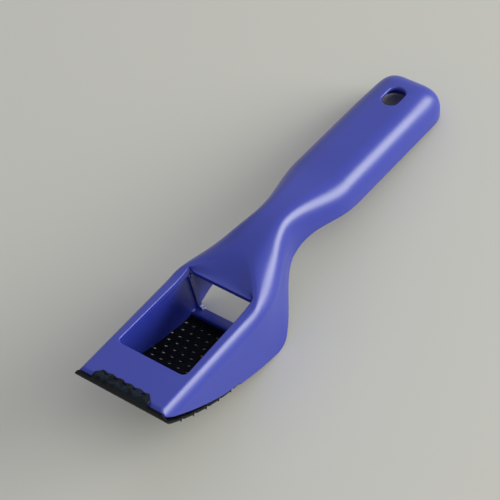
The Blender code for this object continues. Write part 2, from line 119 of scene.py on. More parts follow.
def round_union(first: Array, second: Array, radius: float) -> Array:
    """Join of two solids with a fillet: a quarter circle where both distances are under the radius.

    Args:
        first: Distance to one solid.
        second: Distance to the other.
        radius: Radius of the fillet.

    Returns:
        Distance to the joined solid.
    """
    near_first = np.maximum(radius - first, 0.0)
    near_second = np.maximum(radius - second, 0.0)
    return np.maximum(radius, np.minimum(first, second)) - np.hypot(near_first, near_second)


def round_overlap(first: Array, second: Array, radius: float) -> Array:
    """What two solids share, with its edge rounded to the radius."""
    return -round_union(-first, -second, radius)


def overlap(*solids: Array) -> Array:
    """What several solids share, with sharp edges: the greatest of their distances."""
    return reduce(np.maximum, solids)


def slope_of(curve: Callable[[Array], Array], x: Array) -> Array:
    """Slope of a curve by central difference: its rise from just before x to just after, over that length."""
    return (curve(x + DIFFERENCE_STEP) - curve(x - DIFFERENCE_STEP)) / (2.0 * DIFFERENCE_STEP)


def unit(vectors: Array, least: float = 1e-6) -> Array:
    """Vectors brought to length 1, apart from those that are shorter than the least length."""
    return vectors / np.maximum(np.linalg.norm(vectors, axis=1), least)[:, None]


def sides_of(quads: Array) -> Array:
    """Both point numbers of every side of every quad, in the order in which the quad goes round."""
    return np.stack([quads, np.roll(quads, -1, axis=1)], axis=2).reshape(-1, 2)


def gathered(owner: Array, values: Array, count: int) -> Array:
    """Sum of the lines of values that belong to each owner, for owners numbered up to the count."""
    return np.stack([np.bincount(owner, column, count) for column in values.T], axis=1)


def new_piece(name: str, points: Array, quads: Array, normals: Array | None = None) -> bpy.types.Object:
    """Object at the origin with a smooth quad mesh.

    Args:
        name: Plain name of the piece.
        points: Places in the row frame, one per line.
        quads: Four point numbers per line, turned outwards.
        normals: Way the surface faces at each corner of each quad, where it is known exactly.

    Returns:
        The linked object.
    """
    mesh = bpy.data.meshes.new(name)
    mesh.from_pydata(points.tolist(), [], quads.tolist())
    mesh.polygons.foreach_set("use_smooth", np.ones(len(mesh.polygons), bool))
    if normals is not None:
        mesh.normals_split_custom_set(normals.tolist())
    mesh.update()
    piece = bpy.data.objects.new(name, mesh)
    bpy.context.scene.collection.objects.link(piece)
    return piece


def add_attribute(piece: bpy.types.Object, name: str, values: Array) -> None:
    """Stores one number per point of a piece under a name, for the finish to read."""
    attribute = piece.data.attributes.new(name, "FLOAT", "POINT")
    attribute.data.foreach_set("value", np.asarray(values, np.float32))


@dataclass(frozen=True)
class ToolFrame:
    """Where the tool's own frame lies in the row frame."""

    tilt: float
    origin: Triple

    @classmethod
    def from_record(cls, record: dict[str, Any], mount_behind_nose: float) -> ToolFrame:
        """Reads the tilt from the slide of the blade, and the origin from the mount on the bridge.

        Args:
            record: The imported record.
            mount_behind_nose: Distance of the mount from the nose along the bridge.

        Returns:
            The frame.
        """
        axis = record["behaviour"]["joints"][0]["axis"]
        tilt = math.atan2(axis[2], -axis[0])
        x, y, z = record["mounts"][0]["pos_m"]
        cos, sin = math.cos(tilt), math.sin(tilt)
        return cls(tilt, (x - mount_behind_nose * cos, y, z + mount_behind_nose * sin))

    def matrix(self) -> Matrix:
        """Turn by the tilt about Y, then the shift to the origin."""
        return Matrix.Translation(self.origin) @ Matrix.Rotation(self.tilt, 4, "Y")

    def lay(self, points: Array, is_direction: bool = False) -> Array:
        """Takes points or directions from the tool's frame to the row frame.

        Args:
            points: One point or direction per line.
            is_direction: True where only the turn applies.

        Returns:
            The same in the row frame.
        """
        matrix = np.array(self.matrix())
        turned = points @ matrix[:3, :3].T
        return turned if is_direction else turned + matrix[:3, 3]


@dataclass(frozen=True)
class ShellMesher:
    """Draws the zero surface of a distance field as an even quad mesh."""

    spacing: Triple = (0.69 * MM, 0.43 * MM, 0.53 * MM)
    margin: float = 1.6 * MM
    relax_rounds: int = 14
    relax_share: float = 0.6
    settle_rounds: int = 2
    sharpen_rounds: int = 3
    sharpen_pull: float = 0.06
    sharpen_reach: float = 0.6
    crisp_bend: Pair = (0.02, 0.06)
    crisp_facing: Pair = (0.975, 0.90)
    corner_inset: float = 0.3
    probe: float = 0.12 * MM
    fine_probe: float = 0.06 * MM
    least_slope: float = 0.2
    least_square_slope: float = 0.05

    def lattice(self, low: Array, high: Array) -> list[Array]:
        """Evenly spaced places on each axis, with Y laid evenly about the middle.

        Args:
            low: Lowest corner of the shape.
            high: Highest corner of the shape.

        Returns:
            The places on X, Y and Z.
        """
        axes = []
        for axis, step in enumerate(self.spacing):
            reach = high[axis] - low[axis] + 2.0 * self.margin
            count = 2 * math.ceil(0.5 * reach / step)
            middle = 0.5 * (high[axis] + low[axis])
            axes.append(middle + step * (np.arange(count) - 0.5 * (count - 1)))
        return axes

    def values(self, distance: Field, axes: list[Array]) -> Array:
        """Field on the whole lattice. The shape is the same on both sides, so one half is worked out and mirrored.

        Args:
            distance: The field, negative inside.
            axes: The places on X, Y and Z.

        Returns:
            One value per place of the lattice.
        """
        x, y, z = axes
        right = distance(x[:, None, None], y[None, len(y) // 2 :, None], z[None, None, :])
        return np.concatenate([right[:, ::-1], right], axis=1)

    def draw(self, distance: Field, low: Array, high: Array) -> tuple[Array, Array]:
        """One point in every cell that the surface passes, at the mean of its edge crossings, and a quad round
        every lattice edge that the surface crosses.

        Args:
            distance: The field, negative inside.
            low: Lowest corner of the shape.
            high: Highest corner of the shape.

        Returns:
            Points and quads.
        """
        axes = self.lattice(low, high)
        field_values = self.values(distance, axes)
        inside = field_values < 0.0
        corners = np.array(list(product((0, 1), repeat=3)))
        count = sum(inside[tuple(slice(c, c - 1 or None) for c in corner)].astype(np.int8) for corner in corners)
        cells = np.argwhere((count > 0) & (count < len(corners)))
        at_corner = [field_values[tuple((cells + corner).T)] for corner in corners]
        total = np.zeros(cells.shape)
        crossings = np.zeros(len(cells))
        for a, b in combinations(range(len(corners)), 2):
            if np.abs(corners[a] - corners[b]).sum() != 1:
                continue
            crossed = (at_corner[a] < 0.0) != (at_corner[b] < 0.0)
            share = at_corner[a] / np.where(crossed, at_corner[a] - at_corner[b], 1.0)
            total += crossed[:, None] * (corners[a] + share[:, None] * (corners[b] - corners[a]))
            crossings += crossed
        start = np.array([places[0] for places in axes])
        points = start + (cells + total / crossings[:, None]) * np.array(self.spacing)
        number = np.full(count.shape, -1)
        number[tuple(cells.T)] = np.arange(len(cells))
        return points, self.quads(inside, number)

    def quads(self, inside: Array, number: Array) -> Array:
        """Quads round the lattice edges whose two ends lie on different sides of the surface.

        Args:
            inside: True at the lattice places inside the shape.
            number: Point number of each cell.

        Returns:
            Four point numbers per line, turned outwards.
        """
        found = []
        units = np.eye(3, dtype=int)
        for axis in range(3):
            unit, side, up = units[axis], units[(axis + 1) % 3], units[(axis + 2) % 3]
            ends = np.array(inside.shape) - unit
            first = inside[tuple(slice(0, e) for e in ends)]
            second = inside[tuple(slice(u, None) for u in unit)]
            edges = np.argwhere(first != second)
            around = [edges - side - up, edges - up, edges, edges - side]
            quads = np.stack([number[tuple(cell.T)] for cell in around], axis=1)
            leaves = first[tuple(edges.T)]
            found.append(np.where(leaves[:, None], quads, quads[:, ::-1]))
        return np.concatenate(found)

    def probes(self, distance: Field, points: Array, reach: float) -> tuple[Array, Array, Array]:
        """Field at each point, the way it grows, and how sharply the surface bends there.

        The field is read on both sides of the point along each axis. The gradient is the difference of each pair, and
        the bend the sum of all six readings less six times the middle one, over the square of the reach.

        Args:
            distance: The field, negative inside.
            points: Places to probe.
            reach: Distance of the probes from the point.

        Returns:
            Value, gradient and bend, where the bend is above 0 on a raised edge.
        """
        value = distance(*points.T)
        gradient = np.zeros(points.shape)
        bend = -2.0 * points.shape[1] * value
        for axis, offset in enumerate(reach * np.eye(3)):
            ahead = distance(*(points + offset).T)
            behind = distance(*(points - offset).T)
            gradient[:, axis] = (ahead - behind) / (2.0 * reach)
            bend = bend + ahead + behind
        return value, gradient, bend / reach**2

    def refine(self, distance: Field, points: Array, quads: Array) -> Array:
        """Drops each point onto the zero level along the gradient and slides it within the surface towards the mean
        of its neighbours, for a few rounds, and then sharpens the crisp edges.

        Args:
            distance: The field, negative inside.
            points: First places.
            quads: Faces that give each point its neighbours.

        Returns:
            The evened places on the surface.
        """
        edges = np.unique(np.sort(sides_of(quads), axis=1), axis=0)
        both = np.concatenate([edges, edges[:, ::-1]])
        degree = np.bincount(both[:, 0], minlength=len(points))
        for _ in range(self.relax_rounds):
            value, gradient, _ = self.probes(distance, points, self.probe)
            points = points - self.drop(value, gradient)
            shift = gathered(both[:, 0], points[both[:, 1]], len(points)) / degree[:, None] - points
            normal = unit(gradient, self.least_slope)
            points = points + self.relax_share * (shift - (shift * normal).sum(axis=1)[:, None] * normal)
        return self.sharpened(distance, self.settled(distance, points), quads)

    def sharpened(self, distance: Field, points: Array, quads: Array) -> Array:
        """Moves the points on crisp edges to where the planes of their faces meet best, so that the edges stay crisp.

        Each face gives the plane that the field has at its middle. The point that is nearest to all its planes, by
        least squares with a slight pull to where it was, solves a 3 by 3 system. The bend at a point is 1 less the
        length of the mean normal of its faces, and only points that bend clearly are moved, by a part of a lattice
        step at most. All points are then dropped onto the zero level once more.

        Args:
            distance: The field, negative inside.
            points: Places on the surface.
            quads: Faces that give each point its planes.

        Returns:
            The moved places.
        """
        for _ in range(self.sharpen_rounds):
            middle = points[quads].mean(axis=1)
            value, gradient, _ = self.probes(distance, middle, self.fine_probe)
            steep = np.maximum(np.linalg.norm(gradient, axis=1), self.least_slope)
            normal = gradient / steep[:, None]
            level = (normal * middle).sum(axis=1) - value / steep
            squares = (normal[:, :, None] * normal[:, None, :]).reshape(-1, 9)
            owner = quads.reshape(-1)
            planes, levels, facing = (
                gathered(owner, np.repeat(terms, quads.shape[1], axis=0), len(points))
                for terms in (squares, normal * level[:, None], normal)
            )
            pull = self.sharpen_pull
            pulled = planes.reshape(-1, 3, 3) + pull * np.eye(3)
            moved = np.linalg.solve(pulled, (levels + pull * points)[:, :, None])[:, :, 0]
            bend = 1.0 - np.linalg.norm(facing, axis=1) / np.bincount(owner, minlength=len(points))
            shift = ease(*self.crisp_bend, bend)[:, None] * (moved - points)
            reach = np.maximum(np.linalg.norm(shift, axis=1), TINY)
            points = points + shift * np.minimum(1.0, self.sharpen_reach * self.spacing[1] / reach)[:, None]
        return self.settled(distance, points)

    def settled(self, distance: Field, points: Array) -> Array:
        """Points dropped onto the zero level, more than once because each drop follows a straight line.

        Args:
            distance: The field, negative inside.
            points: Places near the surface.

        Returns:
            The places on the surface.
        """
        for _ in range(self.settle_rounds):
            points = points - self.drop(*self.probes(distance, points, self.probe)[:2])
        return points

    def drop(self, value: Array, gradient: Array) -> Array:
        """How far and which way a point lies off the zero level, held to one lattice step."""
        steep = np.maximum((gradient**2).sum(axis=1), self.least_square_slope)
        return np.clip(value / steep, -self.spacing[0], self.spacing[0])[:, None] * gradient

    def corner_normals(self, distance: Field, points: Array, quads: Array) -> Array:
        """Way the surface faces at each corner of each quad.

        It is the way at the point itself. Where that differs clearly from the way a little inside the quad, the way
        inside takes its place, so that shading breaks at crisp edges and nowhere else.

        Args:
            distance: The field, negative inside.
            points: Places on the surface.
            quads: Faces.

        Returns:
            One direction per corner.
        """
        corners = points[quads]
        within = between(corners, corners.mean(axis=1, keepdims=True), self.corner_inset).reshape(-1, 3)
        at_point, inside = (unit(self.probes(distance, places, self.fine_probe)[1]) for places in (points, within))
        at_point = at_point[quads].reshape(-1, 3)
        crispness = ease(*self.crisp_facing, (at_point * inside).sum(axis=1))[:, None]
        return unit(between(at_point, inside, crispness))


class Value:
    """A socket of a material's nodes with the operators of a number: each adds one Math node."""

    def __init__(self, graph: NodeGraph, socket: bpy.types.NodeSocket) -> None:
        """Keeps the graph and the socket."""
        self.graph = graph
        self.socket = socket

    def math(self, operation: str, first: Any, second: Any = 0.0) -> Value:
        """One Math node on two values."""
        return self.graph.node("ShaderNodeMath", {"operation": operation}, {0: first, 1: second})

    def __add__(self, other: Any) -> Value:
        """This value plus another."""
        return self.math("ADD", self, other)

    def __radd__(self, other: Any) -> Value:
        """A number plus this value."""
        return self.math("ADD", other, self)

    def __sub__(self, other: Any) -> Value:
        """This value less another."""
        return self.math("SUBTRACT", self, other)

    def __rsub__(self, other: Any) -> Value:
        """A number less this value."""
        return self.math("SUBTRACT", other, self)

    def __mul__(self, other: Any) -> Value:
        """This value times another."""
        return self.math("MULTIPLY", self, other)

    def __rmul__(self, other: Any) -> Value:
        """A number times this value."""
        return self.math("MULTIPLY", other, self)

    def __pow__(self, other: Any) -> Value:
        """This value to a power."""
        return self.math("POWER", self, other)

    def clamped(self) -> Value:
        """This value held between 0 and 1."""
        return self.math("MAXIMUM", self.math("MINIMUM", self, 1.0), 0.0)

    def step(self, start: float, end: float) -> Value:
        """Smooth step of this value: 0 before start, 1 after end."""
        settings = {"interpolation_type": "SMOOTHSTEP"}
        return self.graph.node("ShaderNodeMapRange", settings, {"Value": self, "From Min": start, "From Max": end})


class NodeGraph:
    """Node tree of one material. The mix node's colour sockets share their names, so they go by number."""

    MIX_FIRST, MIX_SECOND, MIX_RESULT = 6, 7, 2

    def __init__(self, name: str) -> None:
        """Makes the material with its shader and output.

        Args:
            name: Name of the material.
        """
        self.material = bpy.data.materials.new(name)
        self.material.use_nodes = True
        self.tree = self.material.node_tree
        self.shader = self.tree.nodes["Principled BSDF"]

    def set_socket(self, socket: bpy.types.NodeSocket, value: Any) -> None:
        """Links a value to a socket, or sets it where it is a plain number, colour or vector.

        Args:
            socket: Input of a node.
            value: What it gets.
        """
        if isinstance(value, Value):
            self.tree.links.new(value.socket, socket)
        else:
            socket.default_value = value

    def node(
        self, kind: str, settings: dict[str, Any], sockets: dict[int | str, Any], output: int | str = 0
    ) -> Value:
        """Adds one node.

        Args:
            kind: Type of the node.
            settings: Its settings, which are set first.
            sockets: Values or links of its inputs, by name or number.
            output: Which output is wanted.

        Returns:
            The output's value.
        """
        node = self.tree.nodes.new(kind)
        for name, value in settings.items():
            setattr(node, name, value)
        for key, value in sockets.items():
            self.set_socket(node.inputs[key], value)
        return Value(self, node.outputs[output])

    def place(self) -> Value:
        """Place on the piece in its own coordinates."""
        return self.node("ShaderNodeTexCoord", {}, {}, "Object")

    def attribute(self, name: str) -> Value:
        """Number stored on the piece's points."""
        return self.node("ShaderNodeAttribute", {"attribute_name": name}, {}, "Fac")

    def noise(self, vector: Value, scale: float, detail: float = 2.0, roughness: float = 0.5) -> Value:
        """Cloudy noise between 0 and 1: clouds per metre, number of finer layers, and their strength."""
        sockets = {"Vector": vector, "Scale": scale, "Detail": detail, "Roughness": roughness}
        return self.node("ShaderNodeTexNoise", {}, sockets, "Fac")

    def stretched(self, vector: Value, scale: Triple, turn: float) -> Value:
        """Place turned about Z and stretched, for marks that run one way."""
        return self.node("ShaderNodeMapping", {}, {"Vector": vector, "Scale": scale, "Rotation": (0.0, 0.0, turn)})

    def mix(self, share: Value, first: Any, second: Any) -> Value:
        """Blend of two colours, by the share of the second."""
        sockets = {"Factor": share, self.MIX_FIRST: first, self.MIX_SECOND: second}
        return self.node("ShaderNodeMix", {"data_type": "RGBA"}, sockets, self.MIX_RESULT)

    def bump(self, height: Value, strength: float, distance: float) -> Value:
        """Normal turned by a height between 0 and 1 that stands for a depth in metres."""
        sockets = {"Height": height, "Strength": strength, "Distance": distance}
        return self.node("ShaderNodeBump", {}, sockets)

    def finish(self, sockets: dict[str, Any]) -> bpy.types.Material:
        """Sets or links the shader's own sockets.

        Args:
            sockets: Values or links by the name of the socket.

        Returns:
            The material.
        """
        for name, value in sockets.items():
            self.set_socket(self.shader.inputs[name], value)
        return self.material


def solid_colour(colour: Colour) -> tuple[float, float, float, float]:
    """Colour with full cover."""
    return (*colour, 1.0)


@dataclass(frozen=True)
class SatinPlastic:
    """Moulded blue-violet plastic with a fine eroded grain, light rub marks and slightly polished edges."""

    colour: Colour = (0.028, 0.044, 0.400)
    deep_colour: Colour = (0.025, 0.039, 0.376)
    rubbed_colour: Colour = (0.070, 0.088, 0.380)
    roughness: float = 0.34
    refraction: float = 1.63
    clouds_per_metre: float = 38.0
    cloud_levels: Pair = (0.3, 0.7)
    cloud_roughness: float = 0.10
    grain_per_metre: float = 2600.0
    grain_depth: float = 0.020 * MM
    grain_strength: float = 0.55
    rub_stretch: Triple = (60.0, 1300.0, 700.0)
    rub_turn: float = 0.35
    rub_levels: Pair = (0.66, 0.80)
    rub_share: float = 0.10
    rub_roughness: float = 0.06
    wear_per_metre: float = 210.0
    wear_levels: Pair = (0.42, 0.68)
    wear_share: float = 0.42
    wear_polish: float = 0.07

    def make(self) -> bpy.types.Material:
        """Builds the material.

        Returns:
            The material.
        """
        graph = NodeGraph(Slot.PLASTIC.value)
        place = graph.place()
        clouds = graph.noise(place, self.clouds_per_metre, detail=3.0)
        grain = graph.noise(place, self.grain_per_metre, detail=2.0, roughness=0.6)
        edge = graph.attribute("edge")
        streaks = graph.stretched(place, self.rub_stretch, self.rub_turn)
        rubs = graph.noise(streaks, scale=1.0, detail=3.0, roughness=0.6).step(*self.rub_levels)
        worn = edge * graph.noise(place, self.wear_per_metre, detail=4.0, roughness=0.65).step(*self.wear_levels)
        shade = clouds.step(*self.cloud_levels)
        base = graph.mix(shade, solid_colour(self.deep_colour), solid_colour(self.colour))
        marks = (self.rub_share * rubs + self.wear_share * worn).clamped()
        roughness = self.roughness + self.cloud_roughness * (clouds - 0.5)
        return graph.finish(
            {
                "Base Color": graph.mix(marks, base, solid_colour(self.rubbed_colour)),
                "Roughness": roughness - self.wear_polish * worn + self.rub_roughness * rubs,
                "Normal": graph.bump(grain, self.grain_strength, self.grain_depth),
                "IOR": self.refraction,
            }
        )


@dataclass(frozen=True)
class BlackSteel:
    """Black hardened sheet steel with worn, brighter teeth."""

    colour: Colour = (0.0036, 0.0042, 0.0066)
    cloud_colour: Colour = (0.0066, 0.0074, 0.0098)
    bright_colour: Colour = (0.060, 0.060, 0.064)
    tab_colour: Colour = (0.0105, 0.0170, 0.0300)
    roughness: float = 0.52
    shine: float = 0.12
    clouds_per_metre: float = 160.0
    cloud_levels: Pair = (0.42, 0.72)
    cloud_roughness: float = 0.16
    grain_per_metre: float = 3800.0
    grain_share: float = 0.02
    lumps_per_metre: float = 520.0
    lump_levels: Pair = (0.36, 0.56)
    lump_depth: float = 0.45 * MM
    lump_strength: float = 0.7
    wear_per_metre: float = 900.0
    wear_levels: Pair = (0.30, 0.62)
    wear_polish: float = 0.12
    wear_metal: float = 0.85
    tab_polish: float = 0.10

    def make(self) -> bpy.types.Material:
        """Builds the material.

        Returns:
            The material.
        """
        graph = NodeGraph(Slot.STEEL.value)
        place = graph.place()
        clouds = graph.noise(place, self.clouds_per_metre, detail=4.0, roughness=0.6)
        grain = graph.noise(place, self.grain_per_metre, detail=2.0, roughness=0.6)
        tooth = graph.attribute("tooth")
        worn = (tooth * graph.noise(place, self.wear_per_metre, detail=3.0).step(*self.wear_levels)).clamped()
        tab = graph.attribute("tab")
        lumps = graph.noise(place, self.lumps_per_metre, detail=1.0, roughness=0.4)
        shade = clouds.step(*self.cloud_levels)
        base = graph.mix(shade, solid_colour(self.colour), solid_colour(self.cloud_colour))
        base = graph.mix(tab * lumps.step(*self.lump_levels), base, solid_colour(self.tab_colour))
        roughness = self.roughness + self.cloud_roughness * (clouds - 0.5)
        return graph.finish(
            {
                "Base Color": graph.mix(worn, base, solid_colour(self.bright_colour)),
                "Roughness": roughness - self.wear_polish * worn - self.tab_polish * tab,
                "Metallic": worn * self.wear_metal,
                "Normal": graph.bump(tab * lumps + self.grain_share * grain, self.lump_strength, self.lump_depth),
                "Specular IOR Level": self.shine,
            }
        )


@dataclass(frozen=True)
class PaleFloor:
    """Matt pale grey floor."""

    colour: Colour = (0.66, 0.655, 0.64)
    roughness: float = 0.85
    shine: float = 0.0

    def make(self) -> bpy.types.Material:
        """Builds the material, with plain values on the shader's own sockets.

        Returns:
            The material.
        """
        graph = NodeGraph("pale_floor")
        colour = solid_colour(self.colour)
        return graph.finish({"Base Color": colour, "Roughness": self.roughness, "Specular IOR Level": self.shine})


@dataclass
class RaspBlade:
    """Pierced, curved and folded steel blade: tongue, toothed arc, nose fold and hooked tab."""

    thickness: float = 0.8 * MM
    front_width: float = 41.0 * MM
    rear_width: float = 35.2 * MM
    taper_power: float = 3.0
    nose_drop: float = 5.4 * MM
    nose_setback: float = 1.0 * MM
    radius: float = 130.0 * MM
    rear_x: float = 63.3 * MM
    rear_z: float = -29.8 * MM
    tongue_length: float = 2.6 * MM
    tab_length: float = 3.5 * MM
    tab_level: float = 0.34 * MM
    tab_thickness: float = 0.6 * MM
    face_corner: float = 5.0 * MM
    tab_bend: float = 1.2 * MM
    tab_wave: float = 0.25 * MM
    tab_corner: float = 1.9 * MM
    tab_tile: float = 2.2 * MM
    clearance: float = 0.3 * MM
    tooth_height: float = 1.0 * MM
    tooth_pitch: float = 4.1 * MM
    plain_front: float = 2.5 * MM
    plain_rear: float = 3.0 * MM
    hole_length: float = 1.7 * MM
    hole_share: float = 0.44
    notch_share: float = 0.20
    hole_power: float = 2.6
    pitches_across: int = 10
    tab_pitches: int = 6
    tongue_pitches: int = 5
    points_per_side: int = 4
    fold_steps: int = 10
    arc_steps: int = 120
    strip_steps: int = 3
    face_steps: int = 30
    hook_steps: int = 20
    ring_shares: tuple[float, ...] = (0.0, 0.28, 0.62, 1.0)
    ring_lifts: tuple[float, ...] = (1.0, 0.62, 0.16, 0.0)
    tooth_lean: float = 0.05
    tab_notch: float = 0.25
    tab_corner_start: float = 0.72
    tab_thinning: float = 2.0 * MM
    tab_shading: float = 1.2 * MM
    merge_step: Pair = (0.02 * MM, 0.01)
    finish: BlackSteel = field(default_factory=BlackSteel)

    def __post_init__(self) -> None:
        """Works out the arc and the folded middle line with its length along the sheet."""
        front = np.array([self.nose_setback, -self.nose_drop])
        rear = np.array([self.rear_x, self.rear_z])
        chord = rear - front
        length = np.linalg.norm(chord)
        upward = np.array([-chord[1], chord[0]]) / length
        self.centre = 0.5 * (front + rear) + upward * math.sqrt(self.radius**2 - 0.25 * length**2)
        self.angle_rear = math.atan2(*(rear - self.centre)[::-1])
        self.angle_front = math.atan2(*(front - self.centre)[::-1])
        self.sweep = self.radius * (self.angle_rear - self.angle_front)
        self.line = self.middle_line()
        steps = np.linalg.norm(np.diff(self.line, axis=0), axis=1)
        self.run = np.concatenate([[0.0], np.cumsum(steps)])
        self.hook_start = self.run[-2] - 0.5 * math.pi * self.tab_bend

    def half_width(self, x: Array) -> Array:
        """Half width of the blank, which stays wide under the window and narrows towards the rear end."""
        share = np.clip(np.asarray(x, float) / self.rear_x, 0.0, 1.0)
        return 0.5 * between(self.front_width, self.rear_width, share**self.taper_power)

    def middle_line(self) -> Array:
        """Middle of the sheet in side view: straight tongue, arc, bend up, face, bend back, straight tab.

        Returns:
            (x, z) points from the tongue to the tab.
        """
        tongue = np.array([[self.rear_x + self.tongue_length, self.rear_z]])
        angles = np.linspace(self.angle_rear, self.angle_front, self.arc_steps)
        arc = self.centre + self.radius * np.stack([np.cos(angles), np.sin(angles)], axis=1)
        face = -(self.clearance + 0.5 * self.thickness)
        lean = math.atan2(-math.cos(self.angle_front), math.sin(self.angle_front))
        bend = (arc[-1, 0] - face) / (1.0 + math.sin(lean - math.pi))
        hub = arc[-1] + bend * np.array([math.sin(lean), -math.cos(lean)])
        turn = np.linspace(lean, 0.5 * math.pi, self.fold_steps)
        fold = hub - bend * np.stack([np.sin(turn), -np.cos(turn)], axis=1)
        hub = np.array([face + self.tab_bend, self.tab_level - self.tab_bend])
        turn = np.linspace(0.5 * math.pi, 0.0, self.fold_steps)
        hook = hub - self.tab_bend * np.stack([np.sin(turn), -np.cos(turn)], axis=1)
        tab = np.array([[self.tab_length + self.tab_wave, self.tab_level]])
        return np.concatenate([tongue, arc, fold[1:], hook, tab])

    def hole_tile(self, hole_share: float) -> Patch:
        """One pitch of the sheet round a hole, as rings from the hole's edge out to the square of the pitch.

        The hole is a superellipse. The edge towards the nose is raised as a tooth: the lift falls off with the
        cosine squared of the angle from the tooth's middle and with each ring outwards, and what is lifted leans
        back over the hole.

        Args:
            hole_share: Width of the hole, in pitches.

        Returns:
            Places within the pitch from -0.5 to 0.5 (along, across), lift from 0 to 1, and quads.
        """
        side = np.arange(self.points_per_side) / self.points_per_side - 0.5
        edge = np.full(self.points_per_side, 0.5)
        along = np.concatenate([edge, -side, -edge, side])
        across = np.concatenate([side, edge, -side, -edge])
        square = np.stack([along, across], axis=1)
        angle = np.arctan2(square[:, 1], square[:, 0])
        cos, sin = np.cos(angle), np.sin(angle)
        half_long = 0.5 * self.hole_length / self.tooth_pitch
        half_wide = 0.5 * hole_share
        power = self.hole_power
        reach = (np.abs(cos / half_long) ** power + np.abs(sin / half_wide) ** power) ** (-1.0 / power)
        hole = reach[:, None] * np.stack([cos, sin], axis=1)
        places = between(hole[None], square[None], np.array(self.ring_shares)[:, None, None])
        tooth = np.clip(cos, 0.0, None) ** 2
        lift = tooth[None] * np.array(self.ring_lifts)[:, None]
        places[:, :, 0] -= self.tooth_lean * lift
        count = len(square)
        ring_starts = count * np.arange(len(self.ring_shares) - 1)[:, None]
        first = np.arange(count)[None] + ring_starts
        second = (np.arange(count)[None] + 1) % count + ring_starts
        quads = np.stack([first, first + count, second + count, second], axis=2).reshape(-1, 4)
        return places.reshape(-1, 2), lift.reshape(-1), quads

    def half_tile(self, middle: float, pitch: float, edge: float) -> Patch:
        """Half of a tile, cut through its hole by the blade's side edge.

        Args:
            middle: Length along the sheet at the middle of the tile.
            pitch: Length of the tile along the sheet.
            edge: Place of the side edge across, in pitches.

        Returns:
            Places, lift and quads of the half tile.
        """
        places, lift, quads = self.hole_tile(self.notch_share)
        keeps = places[:, 1] * -np.sign(edge) > -self.merge_step[1]
        number = np.cumsum(keeps) - 1
        kept = quads[keeps[quads].all(axis=1)]
        return places[keeps] * np.array([pitch, 1.0]) + np.array([middle, edge]), lift[keeps], number[kept]

    def plain_patch(self, along: Array, first: float, last: float) -> Patch:
        """Grid of plain sheet with the same points across as the tiles have.

        Args:
            along: Lengths along the sheet.
            first: Left edge, counted in pitches from the middle.
            last: Right edge, counted in pitches from the middle.

        Returns:
            Places (length along, pitches across), lift, and quads.
        """
        across = np.linspace(first, last, round((last - first) * self.points_per_side) + 1)
        grid = np.stack(np.meshgrid(along, across, indexing="ij"), axis=2)
        number = np.arange(len(along) * len(across)).reshape(len(along), len(across))
        quads = np.stack([number[:-1, :-1], number[1:, :-1], number[1:, 1:], number[:-1, 1:]], axis=2)
        return grid.reshape(-1, 2), np.zeros(grid.shape[0] * grid.shape[1]), quads.reshape(-1, 4)

    def tile_row(self, middle: float, pitch: float, centres: Array, lifted: bool) -> Patch:
        """A row of tiles side by side.

        Args:
            middle: Length along the sheet at the middle of the row.
            pitch: Length of a tile along the sheet.
            centres: Middles of the tiles across, in pitches.
            lifted: True where the holes have teeth.

        Returns:
            Places, lift and quads of the row.
        """
        places, lift, quads = self.hole_tile(self.hole_share)
        middles = np.stack([np.full(len(centres), middle), centres], axis=1)
        tiled = places[None] * np.array([pitch, 1.0]) + middles[:, None]
        numbers = quads[None] + len(places) * np.arange(len(centres))[:, None, None]
        return tiled.reshape(-1, 2), np.tile(lift * float(lifted), len(centres)), numbers.reshape(-1, 4)

    def blank(self) -> Patch:
        """The flat blank: plain strips and rows of tiles in turn, joined where their edges meet.

        Returns:
            Places (length along, pitches across), lift and quads.
        """
        half = 0.5 * self.pitches_across
        tab_half = 0.5 * self.tab_pitches
        tongue_half = 0.5 * self.tongue_pitches
        arc_start = self.tongue_length
        toothed = self.sweep - self.plain_front - self.plain_rear
        rows = int(toothed // self.tooth_pitch)
        pitch = toothed / rows
        first = arc_start + self.plain_rear
        patches = [self.plain_patch(np.linspace(0.0, arc_start, self.strip_steps), -tongue_half, tongue_half)]
        patches.append(self.plain_patch(np.linspace(arc_start, first, self.strip_steps), -half, half))
        for number in range(rows):
            middle = first + (number + 0.5) * pitch
            if Row(number % 2) is Row.EVEN:
                patches.append(self.tile_row(middle, pitch, np.arange(-half + 0.5, half), True))
                continue
            patches.append(self.tile_row(middle, pitch, np.arange(-half + 1.0, half), True))
            patches.append(self.half_tile(middle, pitch, -half))
            patches.append(self.half_tile(middle, pitch, half))
        lengths = np.linspace(first + toothed, self.hook_start, self.face_steps)
        patches.append(self.plain_patch(lengths, -half, half))
        tile_end = self.run[-1] - self.tab_wave
        tile_start = tile_end - self.tab_tile
        lengths = np.linspace(self.hook_start, tile_start, self.hook_steps)
        patches.append(self.plain_patch(lengths, -tab_half, tab_half))
        centres = np.arange(-tab_half + 1.0, tab_half)
        patches.append(self.tile_row(0.5 * (tile_start + tile_end), self.tab_tile, centres, False))
        lengths = np.linspace(tile_start, tile_end, self.points_per_side + 1)
        patches.append(self.plain_patch(lengths, -tab_half, -tab_half + 0.5))
        patches.append(self.plain_patch(lengths, tab_half - 0.5, tab_half))
        return self.joined(patches)

    def joined(self, patches: list[Patch]) -> Patch:
        """Patches as one sheet, with the points that fall together made one.

        Args:
            patches: Places, lift and quads of each patch.

        Returns:
            Places, lift and quads of the sheet.
        """
        places = np.concatenate([patch[0] for patch in patches])
        lift = np.concatenate([patch[1] for patch in patches])
        starts = np.cumsum([0] + [len(patch[0]) for patch in patches[:-1]])
        quads = np.concatenate([patch[2] + start for patch, start in zip(patches, starts)])
        keys = np.round(places / np.array(self.merge_step)).astype(int)
        _, kept, merged = np.unique(keys, axis=0, return_index=True, return_inverse=True)
        return places[kept], lift[kept], merged.reshape(-1)[quads]

